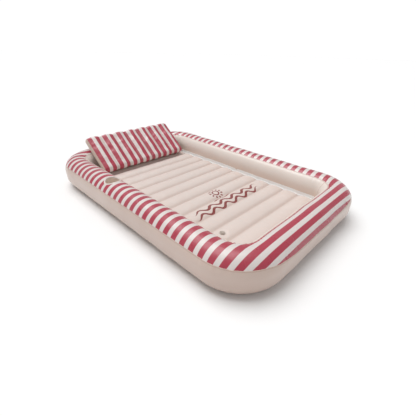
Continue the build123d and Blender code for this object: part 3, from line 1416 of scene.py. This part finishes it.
class Mattress:
    """The channelled air mattress and the tape that joins it to the ring."""

    def __init__(self, size: MattressSize, ring: Ring) -> None:
        """Keep the sizes and the ring it is welded to.

        Args:
            size: the mattress's sizes.
            ring: the ring.
        """
        self.size, self.ring = size, ring
        self.pucker = Ripples(21, 0.012, 0.034, 2.0, 14)
        self.roll = Ripples(23, 0.10, 0.40, 2.0, 6)

    def _grid(self) -> tuple[Array, Array, Array]:
        """Grid of x and y clamped to the rounded plan, and which faces to keep.

        Returns:
            x, y and the flags of the faces.
        """
        z = self.size
        welds = {round(k * z.pitch, 6) for k in range(-z.welds, z.welds + 1)}
        edges = sorted(welds | {-z.half_x, z.half_x})
        spans = [
            np.linspace(low, high, max(3, round((high - low) / z.cell)), endpoint=False)
            for low, high in zip(edges, edges[1:])
        ]
        xs = np.concatenate([*spans, [z.half_x]])
        ys = np.linspace(-z.half_y, z.half_y, round(2 * z.half_y / z.cell) + 1)
        y, x = np.meshgrid(ys, xs)
        dx = np.abs(x) - (z.half_x - z.corner)
        dy = np.abs(y) - (z.half_y - z.corner)
        away = np.hypot(np.maximum(dx, 0), np.maximum(dy, 0))
        outside = (dx > 0) & (dy > 0) & (away > z.corner)
        pull = np.where(outside, z.corner / np.maximum(away, 1e-9), 1.0)
        x = np.where(outside, np.sign(x) * (z.half_x - z.corner + dx * pull), x)
        y = np.where(outside, np.sign(y) * (z.half_y - z.corner + dy * pull), y)
        return x, y, faces_outside(outside)

    def _bulge(self, x: Array, y: Array) -> Array:
        """0 on the welds and the rim, 1 along the crest of a channel.

        Args:
            x: positions along the float.
            y: positions across it.

        Returns:
            The share at each position.
        """
        z = self.size
        edge = z.welds * z.pitch
        low = np.floor(np.clip(x, -edge, edge - 1e-9) / z.pitch) * z.pitch
        across = np.clip((x - low) / z.pitch, 0, 1)
        last = np.clip((np.abs(x) - edge) / (z.half_x - edge), 0, 1)
        hump = np.where(np.abs(x) > edge, 0.33 * arch(last), arch(across))
        reach = np.clip((z.half_y - np.abs(y)) / z.end_round, 0, 1)
        return hump * (0.12 + 0.88 * np.sqrt(1 - (1 - reach) ** 2))

    def _near_weld(self, x: Array) -> Array:
        """Distance from the nearest weld line."""
        return from_nearest(x, self.size.pitch)

    def top(self) -> Piece:
        """Top sheet, blown up between its welds.

        Returns:
            The finished piece.
        """
        z = self.size
        x, y, keep = self._grid()
        near = self._near_weld(x)
        height = z.valley + (z.crown - z.valley) * self._bulge(x, y)
        calm = np.clip(near / 0.006, 0, 1) * np.clip((z.half_y - np.abs(y)) / 0.02, 0, 1)
        height += calm * 0.0004 * np.exp(-near / 0.016) * self.pucker.at(y + 1, x)
        height += calm * 0.0008 * self.roll.at(y + 1, x)
        away = np.hypot(x - z.valve[0], y - z.valve[1])
        height -= z.valve_dip * np.exp(-((away / 0.030) ** 4))
        inside = away < z.valve_hole
        push = np.where(inside, z.valve_hole / np.maximum(away, 1e-6), 1.0)
        x = z.valve[0] + (x - z.valve[0]) * push
        y = z.valve[1] + (y - z.valve[1]) * push
        keep &= faces_outside(inside)
        points = np.stack([x, y, height], -1)
        obj = grid_mesh("mattress_top", points, np.stack([x, y], -1), keep=keep)
        Inflation(pressure=1.2, grow=0.002, limit=0.0020).apply(obj, self._held(coordinates(obj)))
        blown = coordinates(obj)
        blown[:, 2] = np.clip(blown[:, 2], z.valley - 0.0006, z.crown + 0.004)
        set_coordinates(obj, blown)
        self._hem(obj)
        return Piece(obj, "mattress", "float", "mattress_vinyl", ("mattress_top_sheet",), 0.9)

    def _held(self, points: Array) -> Array:
        """Which points of the top sheet the welds, the rim and the valve hold still.

        Args:
            points: positions of the sheet.

        Returns:
            A weight of 0 or 1 for each.
        """
        z = self.size
        x, y = points[:, 0], points[:, 1]
        rim = (z.half_x - np.abs(x) < 0.004) | (z.half_y - np.abs(y) < 0.004)
        over_x = np.maximum(np.abs(x) - (z.half_x - z.corner), 0)
        over_y = np.maximum(np.abs(y) - (z.half_y - z.corner), 0)
        corner = np.hypot(over_x, over_y) > z.corner - 0.004
        valve = np.hypot(x - z.valve[0], y - z.valve[1]) < 0.022
        return np.where((self._near_weld(x) < 0.0036) | rim | corner | valve, 1.0, 0.0)

    def _hem(self, obj: Object) -> None:
        """Turn the outer edge of a sheet down to the rim weld.

        Args:
            obj: the sheet.
        """
        mesh = bmesh.new()
        mesh.from_mesh(obj.data)
        z = self.size
        valve = Vector(z.valve)
        outer = [e for e in mesh.edges if e.is_boundary and (e.verts[0].co.xy - valve).length > 0.03]
        grown = bmesh.ops.extrude_edge_only(mesh, edges=outer)
        for vert in (item for item in grown["geom"] if isinstance(item, bmesh.types.BMVert)):
            vert.co.z = z.rim_z
        bmesh.ops.recalc_face_normals(mesh, faces=mesh.faces)
        for face in mesh.faces:
            face.smooth = True
        mesh.to_mesh(obj.data)
        mesh.free()

    def belly(self) -> Piece:
        """Bottom sheet, seen from under the float.

        Returns:
            The finished piece.
        """
        z = self.size
        x, y, keep = self._grid()
        height = z.belly_valley - (z.belly_valley - z.belly_crown) * self._bulge(x, y)
        height += 0.0005 * np.exp(-self._near_weld(x) / 0.02) * self.pucker.at(y + 1.3, x)
        height = np.maximum(height, 0.0022)
        points = np.stack([x, y, height], -1)[:, ::-1]
        obj = grid_mesh("mattress_belly", points, np.stack([x, y], -1)[:, ::-1], keep=keep[:, ::-1])
        self._hem(obj)
        return Piece(obj, "belly", "float", "mattress_vinyl", ("mattress_bottom_sheet",), 0.9)

    def tape(self) -> Piece:
        """White tape welded over the joint between mattress and inner wall.

        Returns:
            The finished piece.
        """
        ring, z = self.ring, self.size
        flange = np.array([(-0.0100, -0.0010), (-0.0102, 0.0018), (-0.0070, 0.0026), (-0.0040, 0.0026)])
        upright = [(-0.0018, 0.0605), (-0.0015, 0.0640), (-0.0014, 0.0785)]
        wall = np.array([*upright, (-0.0009, 0.0797), (0.0005, 0.0798)])
        s = ring.stations()
        axis, normal = ring.axis.at(s)
        wander = 0.0005 * ring.fine.at(s, np.zeros_like(s))
        across = -ring.size.half + np.concatenate([flange[:, 0], wall[:, 0]])
        plan = axis[None] + normal[None] * across[:, None, None]
        plan[:2] += normal[None] * wander[None, :, None]
        low = plan[: len(flange)]
        sheet = z.valley + (z.crown - z.valley) * self._bulge(low[..., 0], low[..., 1])
        flange_z = sheet + flange[:, 1:]
        wall_z = np.broadcast_to(wall[:, 1:], (len(wall), len(s))) + 0.5 * wander[None]
        points = np.concatenate([plan, np.concatenate([flange_z, wall_z])[..., None]], -1)
        rows = np.broadcast_to(np.linspace(0, 0.03, len(across))[:, None], points.shape[:2])
        uv = np.stack([np.broadcast_to(s, rows.shape), rows], -1)
        obj = grid_mesh("mattress_tape", points[::-1], uv[::-1], wrap=True)
        return Piece(obj, "tape", "float", "white_tape", ("mattress_edge_tape",))

    def pieces(self) -> list[Piece]:
        """Both sheets and the tape."""
        return [self.top(), self.belly(), self.tape()]


# ---------------------------------------------------------------- pillow


class Pillow:
    """The channelled pillow that folds over the mattress."""

    def __init__(self, size: PillowSize) -> None:
        """Keep the sizes and the resting pose.

        Args:
            size: the pillow's sizes.
        """
        self.size = size
        self.half = size.pitch * size.channels / 2
        up = Vector((-math.cos(size.slope), 0, math.sin(size.slope)))
        out = Vector((math.sin(size.slope), 0, math.cos(size.slope)))
        self.frame = np.array([up, (0, 1, 0), out])
        self.origin = np.array([size.hinge_x, 0, size.hinge_z])
        self.pucker = Ripples(31, 0.014, 0.040, 2.0, 12)

    def hump(self, y: Array) -> Array:
        """0 on the welds and 1 along the crest of a channel.

        Args:
            y: positions across the pillow.

        Returns:
            The share at each position.
        """
        z = self.size
        share = np.mod((y + self.half) / z.pitch, 1.0)
        share = np.where(np.isclose(np.abs(y), self.half), 0.0, share)
        return arch(share)

    def outline(self) -> Array:
        """Closed side outline as (along the slope in reach units, end offset, facing) rows.

        Returns:
            One row for each point, starting and ending at the foot.
        """
        run = np.linspace(0, 1, 38)[1:-1]
        end = np.linspace(math.pi / 2, -math.pi / 2, 17)
        rows = [(share, 0.0, 1.0) for share in run]
        rows += [(1.0, math.cos(a), math.sin(a)) for a in end]
        rows += [(share, 0.0, -1.0) for share in run[::-1]]
        rows += [(0.0, -math.cos(a), math.sin(a)) for a in end[::-1]]
        return np.array(rows)

    def cover(self) -> tuple[Piece, list[Piece]]:
        """Blow the pillow up as one bag, then part it into its printed cover and its gussets.

        Returns:
            The cover and the two gussets.
        """
        z = self.size
        rows = self.outline()
        rows = np.vstack([rows, rows[:1]])
        lines = [k * z.pitch - self.half for k in range(z.channels + 1)]
        spans = [np.linspace(low, high, 14, endpoint=False) for low, high in zip(lines, lines[1:])]
        ys = np.concatenate([*spans, [self.half]])
        inset = np.array([0.0, 0.22, 0.50, 0.78, 1.0])
        swell = z.end_swell * (1 - (1 - inset) ** 2)
        ys_all = np.concatenate([-self.half - swell[::-1], ys[1:-1], self.half + swell])
        shrink = np.concatenate([1 - inset[::-1], np.ones(len(ys) - 2), 1 - inset])
        hump = self.hump(np.clip(ys_all, -self.half, self.half))[None]
        fuller = np.where(rows[:, 2:] > 0, smooth_step(0.08, 0.35, rows[:, :1]), 0.0)
        crown = z.back_crown + (z.crown - z.back_crown) * fuller
        rounding = z.valley + 0.4 * (z.back_crown - z.valley) * hump
        u = rows[:, :1] * z.reach + rows[:, 1:2] * rounding * shrink[None]
        n = rows[:, 2:] * (z.valley + (crown - z.valley) * hump) * shrink[None]
        near = from_nearest(ys_all + self.half, z.pitch)
        step = np.hypot(np.diff(u[:, len(ys_all) // 2]), np.diff(n[:, len(ys_all) // 2]))
        along = np.concatenate([[0.0], np.cumsum(step)])
        pucker = self.pucker.at(along[:, None], ys_all[None])
        ripple = 0.0006 * np.exp(-near / 0.014)[None] * pucker * np.clip(near / 0.006, 0, 1)[None]
        n = n + ripple * np.sign(rows[:, 2:])
        y = np.broadcast_to(ys_all[None], u.shape)
        local = np.stack([u, y, n], -1)
        uv = np.stack([y, np.broadcast_to(along[:, None], u.shape)], -1)
        bag = grid_mesh("pillow_bag", (local @ self.frame + self.origin), uv)
        held = self._held(local, near, ys_all)
        self._weld_seam(bag, rows.shape[0], len(ys_all))
        Inflation(pressure=3.0, grow=0.005, limit=0.0030).apply(bag, held)
        return self._part(bag, len(ys_all), len(inset))

    def _held(self, local: Array, near: Array, ys: Array) -> Array:
        """Which points the welds and the valve hold still.

        Args:
            local: positions in the pillow's own axes.
            near: distance from the nearest weld, by column.
            ys: position across the pillow, by column.

        Returns:
            A weight of 0 or 1 for each point of the welded bag.
        """
        z = self.size
        weld = np.broadcast_to((near < 0.003)[None], local.shape[:2])
        away = np.hypot(local[..., 0] - z.valve[0], local[..., 1] - z.valve[1])
        valve = (away < 0.020) & (local[..., 2] < 0)
        cap = np.broadcast_to((np.abs(ys) > self.half - 0.001)[None], local.shape[:2])
        foot = local[..., 0] < 0.014
        return np.where(weld | valve | cap | foot, 1.0, 0.0)[:-1].ravel()

    def _weld_seam(self, obj: Object, rows: int, cols: int) -> None:
        """Join the first and last rows, which are the same line.

        Args:
            obj: the bag.
            rows: rows of its grid.
            cols: columns of its grid.
        """
        mesh = bmesh.new()
        mesh.from_mesh(obj.data)
        mesh.verts.ensure_lookup_table()
        pairs = {mesh.verts[(rows - 1) * cols + k]: mesh.verts[k] for k in range(cols)}
        bmesh.ops.weld_verts(mesh, targetmap=pairs)
        mesh.to_mesh(obj.data)
        mesh.free()

    def _part(self, bag: Object, cols: int, rings: int) -> tuple[Piece, list[Piece]]:
        """Split the bag's faces into the printed cover and the two gussets.

        Args:
            bag: the blown-up bag.
            cols: columns of its grid.
            rings: columns in each gusset.

        Returns:
            The cover and the two gussets.
        """
        mesh = bag.data
        faces = np.array([tuple(p.vertices) for p in mesh.polygons])
        uv = np.zeros(len(mesh.loops) * 2, np.float32)
        mesh.uv_layers["flat"].data.foreach_get("uv", uv)
        uv = uv.reshape(-1, 4, 2)
        column = np.arange(len(faces)) % (cols - 1)
        points = coordinates(bag)
        groups = {
            "pillow_left_side": column < rings - 1,
            "pillow_right_side": column >= cols - rings,
        }
        groups["pillow_cover"] = ~(groups["pillow_left_side"] | groups["pillow_right_side"])
        made = {
            name: mesh_object(name, points, faces[chosen], uv[chosen])
            for name, chosen in groups.items()
        }
        bpy.data.objects.remove(bag)
        panels = ("pillow_front_panel", "pillow_back_panel")
        cover = Piece(made["pillow_cover"], "pillow", "pillow", "striped_vinyl", panels, 0.9)
        gussets = []
        for side in ("left", "right"):
            node = f"pillow_{side}_gusset"
            gussets.append(Piece(made[f"pillow_{side}_side"], "gusset", "pillow", "plain_vinyl", (node,)))
        return cover, gussets

    def sling(self) -> Piece:
        """Flap under the pillow's lower end, welded to the mattress.

        Returns:
            The finished piece.
        """
        z = self.size
        angles = np.radians(np.linspace(*z.flap_arc, 12))
        spokes = [(z.flap_radius * math.cos(a), z.flap_radius * math.sin(a)) for a in angles]
        arc = np.array([(z.hinge_x + across, z.hinge_z + up) for across, up in spokes])
        skirt = np.array([(z.hinge_x + back, height) for back, height in z.skirt])
        ys = np.linspace(-self.half + z.flap_inset, self.half - z.flap_inset, 180)
        upper, lower = self._ribbon(arc, ys), self._ribbon(skirt, ys)
        flap = grid_mesh("pillow_flap", upper, self._ribbon_uv(upper))
        self._join(flap, grid_mesh("pillow_flap_foot", lower, self._ribbon_uv(lower)))
        thick = flap.modifiers.new("Thick", "SOLIDIFY")
        thick.thickness = z.flap_thick
        thick.offset = 0.0
        return Piece(flap, "sling", "float", "inner_vinyl", ("pillow_sling",))

    @staticmethod
    def _ribbon(profile: Array, ys: Array) -> Array:
        """Sweep an (x, z) profile along y.

        Args:
            profile: the profile's points.
            ys: positions across the pillow.

        Returns:
            Grid of positions.
        """
        points = np.empty((len(profile), len(ys), 3))
        points[..., 0] = profile[:, :1]
        points[..., 1] = ys[None]
        points[..., 2] = profile[:, 1:]
        return points

    @staticmethod
    def _ribbon_uv(points: Array) -> Array:
        """Texture coordinates of a ribbon, in metres."""
        return np.stack([points[..., 1], points[..., 0] + points[..., 2]], -1)

    @staticmethod
    def _join(first: Object, second: Object) -> None:
        """Merge the second mesh into the first.

        Args:
            first: object that is kept.
            second: object that is removed.
        """
        mesh = bmesh.new()
        mesh.from_mesh(first.data)
        mesh.from_mesh(second.data)
        mesh.to_mesh(first.data)
        mesh.free()
        bpy.data.objects.remove(second)

    def pieces(self) -> list[Piece]:
        """Cover, gussets and flap."""
        cover, gussets = self.cover()
        return [cover, *gussets, self.sling()]


# ---------------------------------------------------------------- cup holder


class CupHolder:
    """The cup sunk into one side tube and the collar round its mouth."""

    def __init__(self, size: CupSize, ring: RingSize) -> None:
        """Keep the sizes and the tube it sits in."""
        self.size, self.ring = size, ring

    def _turned(self, name: str, rows: Sequence[tuple[float, float, bool]]) -> Object:
        """Turn a profile about the cup's axis.

        Args:
            name: object name.
            rows: radius, height, and whether the height is above the tube's surface or above the ground.

        Returns:
            The new object.
        """
        turn = np.linspace(0, 2 * math.pi, 121)
        points = np.empty((len(rows), len(turn), 3))
        for k, (radius, height, on_tube) in enumerate(rows):
            side = radius * np.sin(turn)
            points[k, :, 0] = self.size.x + radius * np.cos(turn)
            points[k, :, 1] = -self.ring.centre_y + side
            tube = self.ring.top_z + np.sqrt(np.maximum((self.ring.half + height) ** 2 - side**2, 0))
            points[k, :, 2] = tube if on_tube else height
        lengths = np.linspace(0, 0.15, len(rows))
        uv = np.stack(np.broadcast_arrays(turn * self.size.bore, lengths[:, None]), -1)
        return grid_mesh(name, points, uv, wrap=True)

    def pieces(self) -> list[Piece]:
        """Cup and collar.

        Returns:
            The two finished pieces.
        """
        z = self.size
        floor = (
            (0.0006, 0.0008),
            (0.020, 0.0010),
            (0.033, 0.0006),
            (0.0385, 0.0010),
            (0.0410, 0.0032),
            (z.bore, 0.0080),
            (z.bore - 0.0004, 0.030),
            (z.bore, 0.055),
        )
        mouth = ((z.bore, -0.0035), (z.bore + 0.0004, -0.0005))
        collar = (
            (z.bore - 0.0002, -0.0030),
            (z.bore - 0.0002, 0.0004),
            (z.bore + 0.0006, 0.0016),
            (z.bore + 0.0020, 0.0021),
            (z.bore + 0.0050, 0.0019),
            (z.rim - 0.0020, 0.0016),
            (z.rim - 0.0004, 0.0011),
            (z.rim, -0.0010),
        )
        cup_rows = [(radius, z.floor_z + height, False) for radius, height in floor]
        cup_rows += [(radius, height, True) for radius, height in mouth]
        rim_rows = [(radius, height, True) for radius, height in collar]
        cup = self._turned("cup", cup_rows[::-1])
        rim = self._turned("cup_collar", rim_rows[::-1])
        return [
            Piece(cup, "cup", "float", "cup_vinyl", ("cup_holder_cup",)),
            Piece(rim, "rim", "float", "rim_vinyl", ("cup_holder_rim",)),
        ]


# ---------------------------------------------------------------- studio


@dataclass(frozen=True)
class SkyLight:
    """Broad lamp from above and behind, and the even surround."""

    toward: tuple[float, float, float] = (-0.35, -0.03, 1.0)
    strength: float = 2.12
    spread: float = 0.85
    surround: float = 0.46
    backdrop: float = 1.05


@dataclass(frozen=True)
class Lens:
    """Camera pose and lens."""

    place: tuple[float, float, float] = (1.23393, -1.17229, 0.88636)
    right: tuple[float, float, float] = (0.72572, 0.68799, 0.0)
    up: tuple[float, float, float] = (-0.35028, 0.36949, 0.86069)
    back: tuple[float, float, float] = (0.59214, -0.62462, 0.50913)
    roll: float = math.radians(1.32)
    focal_mm: float = 23.27


class Studio:
    """Pale floor, soft light and the camera."""

    SKY = SkyLight()

    def floor(self) -> Object:
        """Large pale floor.

        Returns:
            The floor.
        """
        mesh = bpy.data.meshes.new("floor")
        reach = 60.0
        corners = [(-reach, -reach, 0), (reach, -reach, 0), (reach, reach, 0), (-reach, reach, 0)]
        mesh.from_pydata(corners, [], [(0, 1, 2, 3)])
        obj = bpy.data.objects.new("floor", mesh)
        bpy.context.scene.collection.objects.link(obj)
        material = bpy.data.materials.new("PaleFloor")
        material.use_nodes = True
        material.node_tree.nodes.clear()
        g = Graph(material.node_tree)
        spot = g.node("ShaderNodeTexCoord")
        tone = g.mix(g.noise(spot.outputs["Object"], 2.0, 3.0), (0.925, 0.925, 0.925), (0.94, 0.94, 0.94))
        shader = g.node("ShaderNodeBsdfPrincipled")
        g.put(shader.inputs["Base Color"], tone)
        shader.inputs["Roughness"].default_value = 0.9
        shader.inputs["Specular IOR Level"].default_value = 0.1
        out = g.node("ShaderNodeOutputMaterial")
        g.put(out.inputs["Surface"], shader.outputs[0])
        mesh.materials.append(material)
        return obj

    def lights(self) -> None:
        """The broad lamp, and a surround that is seen as a pale backdrop."""
        sky = self.SKY
        lamp = bpy.data.lights.new("broad_lamp", "SUN")
        lamp.energy, lamp.angle = sky.strength, sky.spread
        obj = bpy.data.objects.new("broad_lamp", lamp)
        obj.rotation_euler = (-Vector(sky.toward)).to_track_quat("-Z", "Y").to_euler()
        bpy.context.scene.collection.objects.link(obj)
        world = bpy.data.worlds.new("surround")
        world.use_nodes = True
        world.node_tree.nodes.clear()
        g = Graph(world.node_tree)
        seen = g.node("ShaderNodeLightPath").outputs["Is Camera Ray"]
        ground = g.node("ShaderNodeBackground")
        g.put(ground.inputs["Color"], (1.0, 1.0, 1.0))
        strength = g.math("MULTIPLY_ADD", seen, sky.backdrop - sky.surround, sky.surround)
        g.put(ground.inputs["Strength"], strength)
        out = g.node("ShaderNodeOutputWorld")
        g.put(out.inputs["Surface"], ground.outputs[0])
        bpy.context.scene.world = world
        bpy.context.scene.view_settings.view_transform = "Standard"

    def camera(self, lens: Lens) -> None:
        """Place the camera.

        Args:
            lens: pose and focal length.
        """
        data = bpy.data.cameras.new("camera")
        data.lens = lens.focal_mm
        data.sensor_width = 36.0
        data.clip_start, data.clip_end = 0.02, 300.0
        obj = bpy.data.objects.new("camera", data)
        right, up, back = Vector(lens.right), Vector(lens.up), Vector(lens.back)
        turned_right = right * math.cos(lens.roll) + up * math.sin(lens.roll)
        turned_up = up * math.cos(lens.roll) - right * math.sin(lens.roll)
        pose = Matrix((turned_right, turned_up, back)).transposed().to_4x4()
        pose.translation = Vector(lens.place)
        obj.matrix_world = pose
        bpy.context.scene.collection.objects.link(obj)
        bpy.context.scene.camera = obj


# ---------------------------------------------------------------- assembly


class Fittings:
    """CAD pieces that are shown as they are: valves and inner webs."""

    def dress(self, wardrobe: Wardrobe, nodes: dict[str, Object]) -> int:
        """Give every CAD node that still shows its finish.

        Args:
            wardrobe: the finishes.
            nodes: CAD nodes by name.

        Returns:
            How many nodes were dressed.
        """
        count = 0
        for name, obj in nodes.items():
            if obj.hide_render:
                continue
            wardrobe.dress(obj, "valve" if "valve" in name else "sling")
            count += 1
        return count


def main() -> None:
    """Build every piece, dress it and set the studio up."""
    logging.basicConfig(level=logging.INFO, format="%(message)s")
    wardrobe = Wardrobe()
    ring_size, cup_size = RingSize(), CupSize()
    ring = Ring(ring_size, cup_size)
    makers = (ring, Mattress(MattressSize(), ring), Pillow(PillowSize()), CupHolder(cup_size, ring_size))
    for maker in makers:
        for piece in maker.pieces():
            piece.settle(wardrobe)
            LOG.info("%s: %d faces on %s", piece.obj.name, len(piece.obj.data.polygons), piece.body)
    LOG.info("%d CAD pieces shown as they are", Fittings().dress(wardrobe, frame["nodes"]))
    studio = Studio()
    studio.floor()
    studio.lights()
    studio.camera(Lens())


if __name__ == "__main__":
    main()
